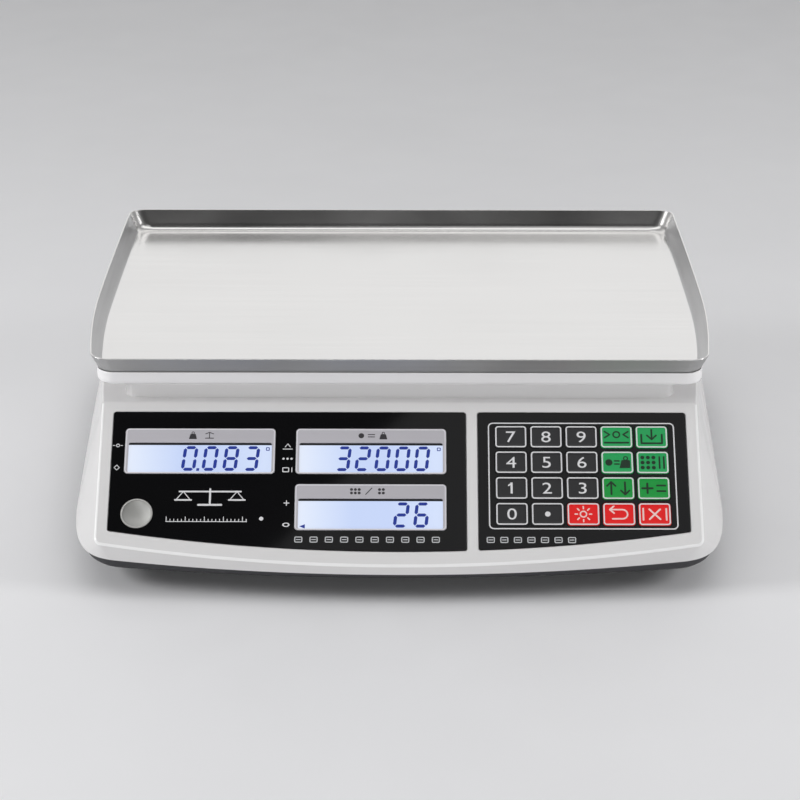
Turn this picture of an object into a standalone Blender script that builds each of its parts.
"""Counting scale with a stainless weighing pan, three displays and a twenty-key keypad.

Lengths are millimetres and are turned into metres where a mesh is made. The origin is on the
table, under the middle of the scale. +X is the user's right, +Y points to the back, +Z is up,
so the sloping display panel faces -Y.
"""

import math

import bmesh
import bpy
from mathutils import Vector

MM = 0.001
GAP = 0.3                       # clearance between neighbouring pieces
BORE_CLEARANCE = 0.5            # round the feet's studs
THROUGH = 5.0                   # how far a cut runs out past the surface it opens

# Driving sizes -------------------------------------------------------------------------
OVERALL_HEIGHT = 106.7          # table to the pan's rim
FRONT_Y = -150.0                # foremost line of the housing
BACK_Y = 150.0                  # back edge of the pan

DECK_Z = 80.7                   # flat top of the housing, round the plinth
PANEL_TOP_Y = -76.9             # where the deck meets the sloping panel
PANEL_SLOPE = math.radians(39.4)
PANEL_HALF_WIDTH = 157.5
PANEL_LENGTH = 93.8             # down the slope, on the centre line
PANEL_ARC_RADIUS = 1012.0       # curve of the panel's lower edge, in the panel's plane

SKIRT_Z_FRONT = 16.0            # lower edge of the housing, front centre
SKIRT_Z_SIDE = 18.5             # lower edge of the housing, sides and back
SKIRT_ARC_RADIUS = 991.0        # curve of the front skirt, seen from above
SKIRT_ARC_HALF_WIDTH = 148.0
SKIRT_SIDE_X = 174.2            # half-width where the corner curve ends
SKIRT_SIDE_Y = -78.0
HOUSING_BACK_Y = 144.0
HOUSING_BACK_RADIUS = 18.0
WALL = 2.6

PLINTH_HALF_WIDTH = 146.4
PLINTH_FRONT_Y = -70.8
PLINTH_BACK_Y = 134.0
PLINTH_TOP_Z = 88.8
PLINTH_RADIUS = 8.0

PAN_HALF_WIDTH = 168.3
PAN_FRONT_Y = -79.6
PAN_WIDEST_Y = 3.6
PAN_RIM_WALL = 7.2              # height of the flared wall, above the cove
PAN_FLARE = 3.2
PAN_COVE = 4.6
PAN_DEPTH = 10.9                # rim to floor
PAN_SHEET = 0.8
PAN_RADIUS_FRONT = 10.0
PAN_RADIUS_BACK = 6.0

PLATTER_INSET = 3.3             # platter's side, in from the pan's rim
PLATTER_BOTTOM_Z = 90.4
PLATTER_DECK_Z = 92.8
PLATTER_RIM_Z = 97.5
PLATTER_WALL = 2.4

CELL_CENTRE_Y = 35.2            # middle of the pan, and of the load cell
CELL_LENGTH = 130.0
CELL_WIDTH = 22.0
CELL_HEIGHT = 30.0
CELL_BOTTOM_Z = 24.6
FLEX_TRAVEL = 0.4               # the platter sinks this far at full load
SPIDER_Z = 64.0
SPIDER_THICKNESS = 10.0
SPIDER_ARM = 9.0                # half the width of the cross's arms at the posts
POST_X = 100.0
POST_Y = 62.0                   # from the load cell's centre
POST_RADIUS = 8.0
POST_CLEARANCE = 4.0            # round the posts, so that the platter can move
STOP_X = 62.0
STOP_Y = 40.0
PAD_SPREAD = 1.12               # the pan's pads lie this much further out than the posts
PAD_RADIUS = 9.0
EYE_REACH = 14.0                # from the load cell's middle to the centre of each lobe
EYE_LOBE = (8.0, 9.0)           # half-width and half-height of a lobe
CELL_SPACER_LENGTH = 34.0

TUB_TOP_Z = 18.6
TUB_SHOULDER_Z = 15.5
TUB_BOTTOM_Z = 7.0
TUB_INSET = 3.0
TUB_BOTTOM_INSET = 22.0
BASE_PLATE_Z = 9.9
BASE_PLATE_THICKNESS = 2.5
BASE_PLATE_SIZE = (284.0, 220.0)
BASE_PLATE_RADIUS = 14.0
BASE_PLATE_Y = 3.0

FOOT_X = 132.0
FOOT_FRONT_Y = -98.0
FOOT_BACK_Y = 100.0
FOOT_RADIUS = 13.0
FOOT_HEIGHT = 6.6
STUD_RADIUS = 3.9
STUD_LOW_Z = 2.8
STUD_HIGH_Z = 19.0

# Overlays and what is set into the panel. u is the distance down the slope.
OVERLAY_THICKNESS = 0.8
OVERLAY_PROUD = 0.3             # top of the overlay, above the panel
OVERLAY_TOP_U = 6.0
OVERLAY_HALF_WIDTH = 151.0
OVERLAY_MARGIN = 8.1            # between the overlay's lower edge and the panel's
OVERLAY_SPLIT = (35.0, 41.4)    # right edge of the left one, left edge of the right one
LCD_WIDTH = 79.0
LCD_HEIGHT = 26.2
LCD_THICKNESS = 6.0
LCD_PLACES = {
    "weight_lcd": (-104.7, 28.8),
    "unit_weight_lcd": (-14.8, 28.8),
    "total_lcd": (-14.8, 60.9),
}
VIAL_X = -136.4
VIAL_U = 64.7
VIAL_RADIUS = 8.3

KEY_WIDTH = 16.8
KEY_HEIGHT = 12.8
KEY_PITCH_X = 18.53
KEY_PITCH_U = 14.8
KEY_FIRST_X = 58.7              # centre of the first key
KEY_FIRST_U = 20.4
KEY_TOP = 0.9                   # above the panel
KEY_BOTTOM = -2.4
KEY_TRAVEL = 0.5
KEY_NAMES = (
    ("key_7", "key_8", "key_9", "key_zero", "key_tare"),
    ("key_4", "key_5", "key_6", "key_piece_weight", "key_sample"),
    ("key_1", "key_2", "key_3", "key_preset", "key_add"),
    ("key_0", "key_point", "key_light", "key_recall", "key_clear"),
)
DIGIT_COLUMNS = 3

INLET_X = -96.0
INLET_WIDTH = 27.4
INLET_HEIGHT = 20.0
SWITCH_X = -52.0
SWITCH_WIDTH = 21.0
SWITCH_HEIGHT = 27.4
REAR_Z = 46.0                   # height of both above the table
ROCKER_PIVOT = 0.6              # outside the back wall
ROCKER_TILT = math.radians(8.0)
ROCKER_LENGTH = 15.0

BATTERY_SIZE = (70.0, 101.0, 47.0)
BATTERY_PLACE = (-108.0, -14.0)
STRAP_THICKNESS = 1.0
STRAP_WIDTH = 20.0
TRANSFORMER_SIZE = (50.0, 46.0, 42.0)
TRANSFORMER_PLACE = (92.0, 88.0)
BOARD_THICKNESS = 1.6
BOARD_STAND_OFF = 6.0           # of the main board, above the base plate
MAIN_BOARD_SIZE = (90.0, 70.0)
MAIN_BOARD_PLACE = (82.0, -54.0)
DISPLAY_BOARD_SIZE = (292.0, 66.0)
DISPLAY_BOARD_U = 44.0

COLOURS = {                     # colour, roughness, metallic
    "stainless": ((0.72, 0.72, 0.71), 0.28, 1.0),
    "housing_white": ((0.74, 0.74, 0.73), 0.35, 0.0),
    "platter_white": ((0.76, 0.76, 0.75), 0.35, 0.0),
    "overlay_black": ((0.006, 0.006, 0.007), 0.08, 0.0),
    "lcd": ((0.60, 0.70, 0.92), 0.15, 0.0),
    "vial": ((0.55, 0.55, 0.53), 0.10, 0.0),
    "key_dark": ((0.035, 0.035, 0.037), 0.45, 0.0),
    "key_green": ((0.03, 0.36, 0.12), 0.45, 0.0),
    "key_red": ((0.80, 0.02, 0.02), 0.45, 0.0),
    "silicone": ((0.20, 0.20, 0.20), 0.70, 0.0),
    "board_green": ((0.02, 0.16, 0.06), 0.50, 0.0),
    "steel": ((0.45, 0.45, 0.46), 0.40, 1.0),
    "aluminium": ((0.62, 0.62, 0.63), 0.45, 1.0),
    "base_plastic": ((0.10, 0.10, 0.105), 0.60, 0.0),
    "black_plastic": ((0.012, 0.012, 0.012), 0.40, 0.0),
    "rubber": ((0.015, 0.015, 0.015), 0.85, 0.0),
    "battery_case": ((0.05, 0.05, 0.055), 0.50, 0.0),
    "transformer": ((0.25, 0.20, 0.08), 0.60, 0.0),
}


# Materials and mesh helpers ------------------------------------------------------------
def material(name):
    """The named finish, made once."""
    found = bpy.data.materials.get(name)
    if found:
        return found
    colour, roughness, metallic = COLOURS[name]
    made = bpy.data.materials.new(name)
    made.use_nodes = True
    shader = made.node_tree.nodes["Principled BSDF"]
    shader.inputs["Base Color"].default_value = (*colour, 1.0)
    shader.inputs["Roughness"].default_value = roughness
    shader.inputs["Metallic"].default_value = metallic
    return made


def new_object(name, bm, finish, parent=None, place=(0.0, 0.0, 0.0)):
    """Turns a bmesh in millimetres into an object in metres."""
    bmesh.ops.recalc_face_normals(bm, faces=bm.faces[:])
    bmesh.ops.scale(bm, vec=(MM, MM, MM), verts=bm.verts[:])
    mesh = bpy.data.meshes.new(name)
    bm.to_mesh(mesh)
    bm.free()
    mesh.shade_smooth()
    mesh.set_sharp_from_angle(angle=math.radians(30))
    made = bpy.data.objects.new(name, mesh)
    bpy.context.scene.collection.objects.link(made)
    made.location = Vector(place) * MM
    made.parent = parent
    if finish:
        mesh.materials.append(material(finish))
    return made


def add_loft(bm, loops):
    """Skins closed loops of equal length, one to the next, and caps both ends."""
    rings = [[bm.verts.new(point) for point in loop] for loop in loops]
    count = len(rings[0])
    for low, high in zip(rings, rings[1:]):
        for i in range(count):
            j = (i + 1) % count
            bm.faces.new((low[i], low[j], high[j], high[i]))
    bm.faces.new(rings[0][::-1])
    bm.faces.new(rings[-1])


def loft(name, loops, finish, parent=None, place=(0.0, 0.0, 0.0)):
    bm = bmesh.new()
    add_loft(bm, loops)
    return new_object(name, bm, finish, parent, place)


def level(outline, z):
    """Lifts a flat outline to one height."""
    return [(x, y, z) for x, y in outline]


def prism(name, outline, low, high, finish, parent=None, place=(0.0, 0.0, 0.0)):
    return loft(name, [level(outline, low), level(outline, high)], finish, parent, place)


def rectangle(width, height, centre=(0.0, 0.0)):
    x, y = centre
    a, b = width / 2, height / 2
    return [(x - a, y - b), (x + a, y - b), (x + a, y + b), (x - a, y + b)]


def rounded_rectangle(width, height, radius, centre=(0.0, 0.0), steps=3):
    x, y = centre
    a, b = width / 2 - radius, height / 2 - radius
    corners = ((a, -b, -90), (a, b, 0), (-a, b, 90), (-a, -b, 180))
    outline = []
    for cx, cy, start in corners:
        for k in range(steps + 1):
            angle = math.radians(start + 90 * k / steps)
            outline.append((x + cx + radius * math.cos(angle), y + cy + radius * math.sin(angle)))
    return outline


def circle(radius, centre=(0.0, 0.0), sides=24):
    x, y = centre
    turns = [2 * math.pi * k / sides for k in range(sides)]
    return [(x + radius * math.cos(t), y + radius * math.sin(t)) for t in turns]


def cutter(name, prisms, parent=None, place=(0.0, 0.0, 0.0)):
    """One hidden object that holds several separate prisms: (outline, low, high)."""
    bm = bmesh.new()
    for outline, low, high in prisms:
        add_loft(bm, [level(outline, low), level(outline, high)])
    made = new_object(name, bm, None, parent, place)
    made.hide_render = True
    made.display_type = "WIRE"
    return made


def combine(target, other, operation):
    change = target.modifiers.new(other.name, "BOOLEAN")
    change.operation = operation
    change.object = other
    change.solver = "EXACT"


def cut(target, name, prisms, parent=None, place=(0.0, 0.0, 0.0)):
    combine(target, cutter(name, prisms, parent, place), "DIFFERENCE")


def add(target, name, prisms, parent=None, place=(0.0, 0.0, 0.0)):
    combine(target, cutter(name, prisms, parent, place), "UNION")


def make_axes(name, place, turn):
    """An empty turned about X, which carries the pieces of one sloping or upright face."""
    axes = bpy.data.objects.new(name, None)
    bpy.context.scene.collection.objects.link(axes)
    axes.location = Vector(place) * MM
    axes.rotation_euler = (turn, 0.0, 0.0)
    return axes


# The panel's own axes have local X across it, local -Y down the slope, local Z out of it.
def panel_z(y, depth=0.0):
    """Height of the panel's plane over y, at a depth under its surface."""
    return DECK_Z + (y - PANEL_TOP_Y) * math.tan(PANEL_SLOPE) - depth / math.cos(PANEL_SLOPE)


def panel_edge_u(x, margin=0.0):
    """How far down the slope the panel's curved lower edge lies."""
    radius = PANEL_ARC_RADIUS - margin
    sag = radius - math.sqrt(radius * radius - x * x)
    return PANEL_LENGTH - margin - sag


# Housing -------------------------------------------------------------------------------
FRONT_STEPS = 8                 # points along half of the front arc
CORNER_STEPS = 10               # points round the front corner's curve
SHARED_STEPS = 5                # of those, how many meet the panel's small corner
PANEL_CORNER_RADIUS = 3.0
DECK_EDGE = ((-55.0, 160.3), (0.0, 162.3), (60.0, 164.2), (112.0, 165.4))
DECK_BACK_RADIUS = 14.0


def bezier(points, t):
    a, b, c, d = points
    s = 1 - t
    return tuple(
        s**3 * a[i] + 3 * s * s * t * b[i] + 3 * s * t * t * c[i] + t**3 * d[i] for i in (0, 1)
    )


def skirt_side_x(y):
    """Half-width of the housing's lower edge, behind the front corner."""
    back = y - SKIRT_SIDE_Y
    return SKIRT_SIDE_X + 0.0438 * back - 0.000031 * back * back


def skirt_z(y):
    """The lower edge dips a little towards the front centre."""
    rise = min(1.0, (y - FRONT_Y) / 12.0)
    return SKIRT_Z_FRONT + (SKIRT_Z_SIDE - SKIRT_Z_FRONT) * rise


def half_edges():
    """Right half of the housing's lower and upper edge, front centre to back, as point pairs."""
    pairs = []
    for k in range(FRONT_STEPS):
        share = k / FRONT_STEPS
        x = SKIRT_ARC_HALF_WIDTH * share
        y = FRONT_Y + SKIRT_ARC_RADIUS - math.sqrt(SKIRT_ARC_RADIUS**2 - x * x)
        top_x = (PANEL_HALF_WIDTH - PANEL_CORNER_RADIUS) * share
        top_y = PANEL_TOP_Y - panel_edge_u(top_x) * math.cos(PANEL_SLOPE)
        pairs.append(((x, y), (top_x, top_y)))
    sag = SKIRT_ARC_RADIUS - math.sqrt(SKIRT_ARC_RADIUS**2 - SKIRT_ARC_HALF_WIDTH**2)
    start = (SKIRT_ARC_HALF_WIDTH, FRONT_Y + sag)
    curve = (start, (start[0] + 20.0, start[1] + 3.0), (172.0, -110.0),
             (SKIRT_SIDE_X, SKIRT_SIDE_Y))
    corner_x = PANEL_HALF_WIDTH - PANEL_CORNER_RADIUS
    corner_y = PANEL_TOP_Y - panel_edge_u(corner_x) * math.cos(PANEL_SLOPE)
    for k in range(CORNER_STEPS + 1):
        low = bezier(curve, k / CORNER_STEPS)
        if k <= SHARED_STEPS:
            turn = math.radians(90 * k / SHARED_STEPS)
            high = (corner_x + PANEL_CORNER_RADIUS * math.sin(turn),
                    corner_y + PANEL_CORNER_RADIUS * (1 - math.cos(turn)))
        elif k < CORNER_STEPS:
            high = (PANEL_HALF_WIDTH, low[1])
        else:
            high = (PANEL_HALF_WIDTH, PANEL_TOP_Y)
        pairs.append((low, high))
    for y, x in DECK_EDGE:
        pairs.append(((skirt_side_x(y), y), (x, y)))
    for k in range(4):
        turn = math.radians(30 * k)
        corner = HOUSING_BACK_Y - HOUSING_BACK_RADIUS
        low_x = skirt_side_x(corner) - HOUSING_BACK_RADIUS * (1 - math.cos(turn))
        low = (low_x, corner + HOUSING_BACK_RADIUS * math.sin(turn))
        high_x = DECK_EDGE[-1][1] - DECK_BACK_RADIUS * (1 - math.cos(turn))
        high = (high_x, HOUSING_BACK_Y - DECK_BACK_RADIUS * (1 - math.sin(turn)))
        pairs.append((low, high))
    return pairs


def whole(half):
    """Mirrors half an outline that starts on the centre line into a closed one."""
    return half + [(-x, y) for x, y in half[:0:-1]]


def inward(outline, distance):
    """The outline, moved in by a distance along its own normals."""
    moved = []
    count = len(outline)
    for i, (x, y) in enumerate(outline):
        ahead, behind = outline[(i + 1) % count], outline[i - 1]
        along = Vector((ahead[0] - behind[0], ahead[1] - behind[1])).normalized()
        moved.append((x - along.y * distance, y + along.x * distance))
    return moved


def shrunk(outline, distance):
    """The outline, scaled so that its sides and ends come in by a distance."""
    xs, ys = zip(*outline)
    middle = (min(ys) + max(ys)) / 2
    scale_x = 1 - distance / max(xs)
    scale_y = 1 - distance / (max(ys) - middle)
    return [(x * scale_x, middle + (y - middle) * scale_y) for x, y in outline]


def upper_loop(outline, depth):
    """Puts an upper outline on the panel's plane or on the deck, at a depth under them."""
    return [(x, y, min(panel_z(y, depth), DECK_Z - depth)) for x, y in outline]


def shell_faces(bm, outer, inner, rows):
    """Joins the outer and the inner skin of the housing, which is open underneath."""
    for sign, (low, high) in ((1, outer), (-1, inner)):
        count = len(low)
        for i in range(count):
            j = (i + 1) % count
            quad = (low[i], low[j], high[j], high[i])
            bm.faces.new(quad[::sign])
        panel = [high[i] for i in rows]
        deck = [high[i] for i in range(rows[-1], rows[0] + count + 1)]
        bm.faces.new(panel[::sign])
        bm.faces.new(deck[::sign])
    for i in range(len(outer[0])):
        j = (i + 1) % len(outer[0])
        bm.faces.new((outer[0][i], inner[0][i], inner[0][j], outer[0][j]))


def make_upper_housing(panel_axes, rear_axes):
    pairs = half_edges()
    low = whole([p for p, _ in pairs])
    high = whole([q for _, q in pairs])
    last = FRONT_STEPS + CORNER_STEPS           # the point where the panel meets the deck
    rows = list(range(-last, last + 1))
    bm = bmesh.new()
    rings = []
    for depth in (0.0, WALL):
        lower = [(x, y, skirt_z(y0)) for (x, y), (_, y0) in zip(inward(low, depth), low)]
        moved = inward(high, depth)
        upper = upper_loop(moved, depth)
        if depth:
            # the inner skin's corner points lie where the two inner planes meet
            meet = PANEL_TOP_Y + depth * math.tan(PANEL_SLOPE / 2)
            for i in (last, -last):
                x = moved[i][0]
                upper[i] = (x, meet, DECK_Z - depth)
        rings.append(([bm.verts.new(p) for p in lower], [bm.verts.new(p) for p in upper]))
    shell_faces(bm, rings[0], rings[1], rows)
    housing = new_object("upper_housing", bm, "housing_white")

    width, depth = 2 * PLINTH_HALF_WIDTH, PLINTH_BACK_Y - PLINTH_FRONT_Y
    centre = (0.0, (PLINTH_BACK_Y + PLINTH_FRONT_Y) / 2)
    outline = rounded_rectangle(width, depth, PLINTH_RADIUS, centre)
    raised = cutter("plinth", [(outline, DECK_Z - WALL / 2, PLINTH_TOP_Z)])
    combine(housing, raised, "UNION")
    inner = rounded_rectangle(width - 2 * WALL, depth - 2 * WALL, PLINTH_RADIUS - WALL, centre)
    cut(housing, "plinth_hollow", [(inner, DECK_Z - 2 * WALL, PLINTH_TOP_Z - WALL)])
    posts = [(circle(POST_RADIUS + POST_CLEARANCE, place), DECK_Z, PLINTH_TOP_Z + THROUGH)
             for place in post_places()]
    cut(housing, "post_holes", posts)

    seat = OVERLAY_THICKNESS + GAP - OVERLAY_PROUD
    recesses = [(inward(outline, -GAP), -seat, THROUGH) for outline in overlay_outlines()]
    cut(housing, "overlay_seats", recesses, panel_axes)
    windows = lcd_outlines(2 * GAP)
    windows.append(keypad_window())
    windows.append(circle(VIAL_RADIUS + GAP, (VIAL_X, -VIAL_U)))
    behind = -3 * THROUGH
    cut(housing, "panel_windows", [(outline, behind, THROUGH) for outline in windows], panel_axes)

    rear = (rectangle(INLET_WIDTH + 2 * GAP, INLET_HEIGHT + 2 * GAP, (INLET_X, 0.0)),
            rectangle(SWITCH_WIDTH + 2 * GAP, SWITCH_HEIGHT + 2 * GAP, (SWITCH_X, 0.0)))
    cut(housing, "rear_openings", [(outline, behind, THROUGH) for outline in rear], rear_axes)
    return housing


def make_lower_housing():
    low = whole([p for p, _ in half_edges()])
    outer = inward(low, TUB_INSET)
    foot = shrunk(low, TUB_BOTTOM_INSET)
    thin = inward(low, TUB_INSET + WALL)
    thin_foot = shrunk(low, TUB_BOTTOM_INSET + WALL / 2)
    loops = [level(foot, TUB_BOTTOM_Z), level(outer, TUB_SHOULDER_Z), level(outer, TUB_TOP_Z),
             level(thin, TUB_TOP_Z), level(thin, TUB_SHOULDER_Z + 1.0),
             level(thin_foot, TUB_BOTTOM_Z + WALL)]
    tub = loft("lower_housing", loops, "base_plastic")
    cut(tub, "stud_holes_tub", stud_holes())
    return tub


def make_base_plate():
    outline = rounded_rectangle(*BASE_PLATE_SIZE, BASE_PLATE_RADIUS, (0.0, BASE_PLATE_Y))
    top = BASE_PLATE_Z + BASE_PLATE_THICKNESS
    plate = prism("base_plate", outline, BASE_PLATE_Z, top, "steel")
    cut(plate, "stud_holes_plate", stud_holes())


# Weighing system -----------------------------------------------------------------------
def post_places():
    return [(x, CELL_CENTRE_Y + y) for x in (-POST_X, POST_X) for y in (-POST_Y, POST_Y)]


def foot_places():
    return [(x, y) for y in (FOOT_FRONT_Y, FOOT_BACK_Y) for x in (-FOOT_X, FOOT_X)]


def stud_holes():
    bore = STUD_RADIUS + BORE_CLEARANCE
    return [(circle(bore, place, 16), 0.0, STUD_HIGH_Z + THROUGH) for place in foot_places()]


def pan_half_width(y):
    """The pan bulges at its sides: a parabola in front of its widest line, a flatter curve behind."""
    away = y - PAN_WIDEST_Y
    if away < 0:
        return PAN_HALF_WIDTH - 0.000847 * away * away
    return PAN_HALF_WIDTH - 0.00499 * away**1.35


def pan_outline(inset):
    """The pan's plan, moved in from its rim. Every inset gives the same number of points."""
    front, back = PAN_FRONT_Y + inset, BACK_Y - inset
    half = [(0.0, front)]
    for k in range(5):
        turn = math.radians(22.5 * k)
        y = front + PAN_RADIUS_FRONT
        x = pan_half_width(y) - inset - PAN_RADIUS_FRONT * (1 - math.sin(turn))
        half.append((x, y - PAN_RADIUS_FRONT * math.cos(turn)))
    for y in (-50.0, -25.0, PAN_WIDEST_Y, 35.0, 70.0, 105.0):
        half.append((pan_half_width(y) - inset, y))
    for k in range(4):
        turn = math.radians(30 * k)
        y = back - PAN_RADIUS_BACK
        x = pan_half_width(y) - inset - PAN_RADIUS_BACK * (1 - math.cos(turn))
        half.append((x, y + PAN_RADIUS_BACK * math.sin(turn)))
    half.append((0.0, back))
    return half + [(-x, y) for x, y in half[-2:0:-1]]


def pan_skin(inset, drop, floor_z):
    """One face of the pan's sheet, rim to floor: (inset, height) pairs."""
    rows = [(inset, OVERALL_HEIGHT)]
    wall_z = OVERALL_HEIGHT - PAN_RIM_WALL - drop
    for k in range(4):
        turn = math.radians(30 * k)
        rows.append((inset + PAN_FLARE + PAN_COVE * (1 - math.cos(turn)),
                     wall_z - (wall_z - floor_z) * math.sin(turn)))
    return rows


def make_pan():
    floor_z = OVERALL_HEIGHT - PAN_DEPTH
    outside = pan_skin(0.0, PAN_SHEET / 2, floor_z - PAN_SHEET)
    inside = pan_skin(PAN_SHEET, 0.0, floor_z)
    loops = [level(pan_outline(inset), z) for inset, z in outside[::-1] + inside]
    loft("weighing_pan", loops, "stainless")


def make_platter():
    inner = PLATTER_INSET + PLATTER_WALL
    rows = ((PLATTER_INSET, PLATTER_BOTTOM_Z), (PLATTER_INSET, PLATTER_RIM_Z),
            (PLATTER_INSET + 0.8, PLATTER_RIM_Z - 1.3), (inner, PLATTER_RIM_Z - 2.6),
            (inner + 0.6, PLATTER_DECK_Z))
    loft("platter", [level(pan_outline(inset), z) for inset, z in rows], "platter_white")


def make_pan_pads():
    low, high = PLATTER_DECK_Z + GAP, OVERALL_HEIGHT - PAN_DEPTH - PAN_SHEET - GAP
    for number, (x, y) in enumerate(post_places(), 1):
        place = (x * PAD_SPREAD, CELL_CENTRE_Y + (y - CELL_CENTRE_Y) * PAD_SPREAD, 0.0)
        prism(f"pan_pad_{number}", circle(PAD_RADIUS, sides=16), low, high, "rubber", place=place)


def make_load_cell():
    """A bar with an eye of two lobes through it, held at its left end and loaded at its right."""
    half = CELL_LENGTH / 2
    bar = prism("load_cell", rectangle(CELL_LENGTH, CELL_WIDTH, (0.0, CELL_CENTRE_Y)),
                CELL_BOTTOM_Z, CELL_BOTTOM_Z + CELL_HEIGHT, "aluminium")
    eye_axes = make_axes("eye_axes", (0.0, CELL_CENTRE_Y, CELL_BOTTOM_Z + CELL_HEIGHT / 2),
                         math.radians(90))
    cut(bar, "load_cell_eye", [(eye_outline(), -CELL_WIDTH, CELL_WIDTH)], eye_axes)
    end = half - CELL_SPACER_LENGTH / 2
    low = BASE_PLATE_Z + BASE_PLATE_THICKNESS + GAP
    prism("load_cell_mount", rectangle(CELL_SPACER_LENGTH, CELL_WIDTH, (-end, CELL_CENTRE_Y)),
          low, CELL_BOTTOM_Z - GAP, "steel")
    clear = CELL_BOTTOM_Z + CELL_HEIGHT + GAP + FLEX_TRAVEL
    prism("live_end_spacer", rectangle(CELL_SPACER_LENGTH, CELL_WIDTH, (end, CELL_CENTRE_Y)),
          clear, SPIDER_Z - GAP, "steel")


def eye_outline():
    """Half a turn round each end of the load cell's eye."""
    outline = []
    for side in (1, -1):
        for k in range(7):
            turn = math.radians(-90 + 30 * k)
            outline.append((side * (EYE_REACH + EYE_LOBE[0] * math.cos(turn)),
                            side * EYE_LOBE[1] * math.sin(turn)))
    return outline


def make_spider():
    """Cast cross under the platter, whose four posts come up through the plinth."""
    arm = SPIDER_ARM
    half = [(0.0, -24.0), (52.0, -24.0), (POST_X - arm, -POST_Y - arm), (POST_X + arm, -POST_Y - arm),
            (POST_X + arm, arm - POST_Y), (72.0, -14.0), (72.0, 14.0), (POST_X + arm, POST_Y - arm),
            (POST_X + arm, POST_Y + arm), (POST_X - arm, POST_Y + arm), (52.0, 24.0), (0.0, 24.0)]
    outline = [(x, y + CELL_CENTRE_Y) for x, y in half + [(-x, y) for x, y in half[-2:0:-1]]]
    top = SPIDER_Z + SPIDER_THICKNESS
    spider = prism("spider_bracket", outline, SPIDER_Z, top, "aluminium")
    posts = [(circle(POST_RADIUS, place, 16), top - 2.0, PLATTER_BOTTOM_Z - GAP)
             for place in post_places()]
    combine(spider, cutter("spider_posts", posts), "UNION")


def make_overload_stops():
    low = BASE_PLATE_Z + BASE_PLATE_THICKNESS + GAP
    number = 0
    for x in (-STOP_X, STOP_X):
        for y in (-STOP_Y, STOP_Y):
            number += 1
            prism(f"overload_stop_{number}", circle(4.0, sides=6), low,
                  SPIDER_Z - FLEX_TRAVEL - GAP, "steel", place=(x, CELL_CENTRE_Y + y, 0.0))


def make_feet():
    """Each foot is a threaded stud with a rubber pad moulded round its end."""
    for number, (x, y) in enumerate(foot_places(), 1):
        prism(f"foot_stud_{number}", circle(STUD_RADIUS, sides=16), STUD_LOW_Z, STUD_HIGH_Z,
              "steel", place=(x, y, 0.0))
        bore = STUD_RADIUS + GAP + 0.1
        rows = ((FOOT_RADIUS - 1.0, 0.0), (FOOT_RADIUS, 1.2), (FOOT_RADIUS - 0.6, FOOT_HEIGHT),
                (bore, FOOT_HEIGHT), (bore, STUD_LOW_Z - GAP - 0.1))
        loft(f"foot_pad_{number}", [level(circle(radius), z) for radius, z in rows], "rubber",
             place=(x, y, 0.0))


# Panel ---------------------------------------------------------------------------------
def overlay_outlines():
    """The two black overlays, in the panel's axes: straight sides and a curved lower edge."""
    outlines = []
    spans = ((-OVERLAY_HALF_WIDTH, OVERLAY_SPLIT[0]), (OVERLAY_SPLIT[1], OVERLAY_HALF_WIDTH))
    for left, right in spans:
        steps = 10
        lower = [left + (right - left) * k / steps for k in range(steps + 1)]
        outline = [(x, -panel_edge_u(x, OVERLAY_MARGIN)) for x in lower]
        outline += [(right, -OVERLAY_TOP_U), (left, -OVERLAY_TOP_U)]
        outlines.append(outline)
    return outlines


def lcd_outlines(extra=0.0):
    return [rectangle(LCD_WIDTH + extra, LCD_HEIGHT + extra, (x, -u))
            for x, u in LCD_PLACES.values()]


def key_centre(row, column):
    return KEY_FIRST_X + column * KEY_PITCH_X, -(KEY_FIRST_U + row * KEY_PITCH_U)


def keypad_window():
    """The housing's opening behind all twenty keys."""
    columns, rows = len(KEY_NAMES[0]), len(KEY_NAMES)
    width = (columns - 1) * KEY_PITCH_X + KEY_WIDTH + 3.0
    height = (rows - 1) * KEY_PITCH_U + KEY_HEIGHT + 3.0
    first, last = key_centre(0, 0), key_centre(rows - 1, columns - 1)
    return rectangle(width, height, ((first[0] + last[0]) / 2, (first[1] + last[1]) / 2))


def make_overlays(panel_axes):
    low, high = OVERLAY_PROUD - OVERLAY_THICKNESS, OVERLAY_PROUD
    left, right = overlay_outlines()
    display = prism("display_overlay", left, low, high, "overlay_black", panel_axes)
    holes = lcd_outlines(2 * GAP)
    holes.append(circle(VIAL_RADIUS + GAP, (VIAL_X, -VIAL_U)))
    cut(display, "display_windows", [(hole, -THROUGH, THROUGH) for hole in holes], panel_axes)
    keypad = prism("keypad_overlay", right, low, high, "overlay_black", panel_axes)
    holes = []
    for row, names in enumerate(KEY_NAMES):
        for column in range(len(names)):
            hole = rectangle(KEY_WIDTH + 2 * GAP, KEY_HEIGHT + 2 * GAP, key_centre(row, column))
            holes.append((hole, -THROUGH, THROUGH))
    cut(keypad, "key_openings", holes, panel_axes)


def make_displays(panel_axes):
    for name, (x, u) in LCD_PLACES.items():
        prism(name, rectangle(LCD_WIDTH, LCD_HEIGHT), -LCD_THICKNESS, 0.1, "lcd",
              panel_axes, (x, -u, 0.0))
    prism("level_vial", circle(VIAL_RADIUS), -LCD_THICKNESS, 0.2, "vial",
          panel_axes, (VIAL_X, -VIAL_U, 0.0))


def key_finish(row, column):
    if column < DIGIT_COLUMNS and row < len(KEY_NAMES) - 1 or column < 2:
        return "key_dark"
    return "key_red" if row == len(KEY_NAMES) - 1 else "key_green"


def make_keys(panel_axes):
    for row, names in enumerate(KEY_NAMES):
        for column, name in enumerate(names):
            outline = rounded_rectangle(KEY_WIDTH, KEY_HEIGHT, 1.8, steps=2)
            prism(name, outline, KEY_BOTTOM, KEY_TOP, key_finish(row, column),
                  panel_axes, (*key_centre(row, column), 0.0))


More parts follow.
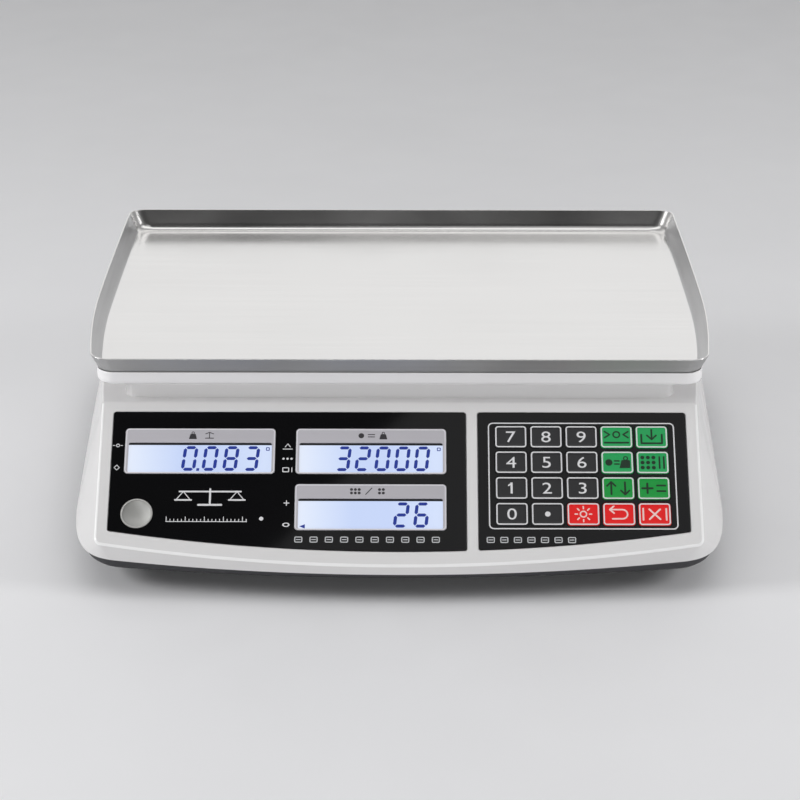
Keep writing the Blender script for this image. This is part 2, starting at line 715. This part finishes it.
def make_panel_boards(panel_axes):
    window = inward(keypad_window(), 0.5)
    top = KEY_BOTTOM - KEY_TRAVEL - GAP
    prism("key_mat", window, -LCD_THICKNESS, top, "silicone", panel_axes)
    top = -LCD_THICKNESS - GAP
    outline = rectangle(*DISPLAY_BOARD_SIZE, (0.0, -DISPLAY_BOARD_U))
    prism("display_board", outline, top - BOARD_THICKNESS, top, "board_green", panel_axes)


# Electrics -----------------------------------------------------------------------------
def make_electrics():
    floor_z = BASE_PLATE_Z + BASE_PLATE_THICKNESS + GAP
    width, length, height = BATTERY_SIZE
    x, y = BATTERY_PLACE
    prism("battery", rectangle(width, length, (x, y)), floor_z, floor_z + height, "battery_case")
    inside, outside = width / 2 + 0.5, width / 2 + 0.5 + STRAP_THICKNESS
    under, over = height + 0.6, height + 0.6 + STRAP_THICKNESS
    band = [(-outside, 0.0), (-outside, over), (outside, over), (outside, 0.0),
            (inside, 0.0), (inside, under), (-inside, under), (-inside, 0.0)]
    ends = (y - STRAP_WIDTH / 2, y + STRAP_WIDTH / 2)
    loft("battery_strap", [[(x + a, end, z + floor_z) for a, z in band] for end in ends], "steel")
    width, length, height = TRANSFORMER_SIZE
    prism("transformer", rectangle(width, length, TRANSFORMER_PLACE), floor_z, floor_z + height,
          "transformer")
    low = floor_z + BOARD_STAND_OFF
    prism("main_board", rectangle(*MAIN_BOARD_SIZE, MAIN_BOARD_PLACE), low, low + BOARD_THICKNESS,
          "board_green")


def make_rear_fittings(rear_axes):
    """Mains inlet and power switch, both in the flat back wall. Local Z points backwards."""
    place = (INLET_X, 0.0, 0.0)
    body = rectangle(INLET_WIDTH, INLET_HEIGHT)
    inlet = prism("mains_inlet", body, -24.0, 0.0, "black_plastic", rear_axes, place)
    add(inlet, "inlet_neck", [(body, -1.0, GAP + 1.0)], rear_axes, place)
    flange = rectangle(INLET_WIDTH + 4.6, INLET_HEIGHT + 4.6)
    add(inlet, "inlet_flange", [(flange, GAP, GAP + 2.2)], rear_axes, place)
    cut(inlet, "inlet_socket", [(inlet_socket_outline(), -18.0, 10.0)], rear_axes, place)

    place = (SWITCH_X, 0.0, 0.0)
    body = rectangle(SWITCH_WIDTH, SWITCH_HEIGHT)
    frame = prism("switch_frame", body, -16.0, 0.0, "black_plastic", rear_axes, place)
    add(frame, "switch_neck", [(body, -1.0, GAP + 1.0)], rear_axes, place)
    rim = rectangle(SWITCH_WIDTH + 4.0, SWITCH_HEIGHT + 4.0)
    add(frame, "switch_rim", [(rim, GAP, GAP + 1.8)], rear_axes, place)
    cut(frame, "switch_well", [(rectangle(16.0, 23.0), -9.0, 10.0)], rear_axes, place)

    # the rocker turns about X, on a pivot just outside the wall; its two halves make a shallow V
    ends = (-ROCKER_LENGTH / 2, ROCKER_LENGTH / 2)
    section = ((-10.4, 2.4), (-9.2, -3.4), (9.2, -3.4), (10.4, 2.4), (0.0, 1.2))
    rocker = loft("power_rocker", [[(x, *point) for point in section] for x in ends],
                  "black_plastic", rear_axes, (SWITCH_X, 0.0, ROCKER_PIVOT))
    rocker.rotation_euler = (-ROCKER_TILT, 0.0, 0.0)


def inlet_socket_outline():
    """The usual six-sided appliance inlet: a rectangle with two cut corners."""
    return [(-12.0, -8.0), (12.0, -8.0), (12.0, 4.0), (8.0, 8.0), (-8.0, 8.0), (-12.0, 4.0)]


def main():
    for existing in list(bpy.data.objects):
        bpy.data.objects.remove(existing, do_unlink=True)
    panel_axes = make_axes("panel_axes", (0.0, PANEL_TOP_Y, DECK_Z), PANEL_SLOPE)
    rear_axes = make_axes("rear_axes", (0.0, HOUSING_BACK_Y, REAR_Z), math.radians(-90))
    make_upper_housing(panel_axes, rear_axes)
    make_lower_housing()
    make_base_plate()
    make_overlays(panel_axes)
    make_displays(panel_axes)
    make_keys(panel_axes)
    make_panel_boards(panel_axes)
    make_load_cell()
    make_spider()
    make_overload_stops()
    make_platter()
    make_pan_pads()
    make_pan()
    make_feet()
    make_electrics()
    make_rear_fittings(rear_axes)


main()
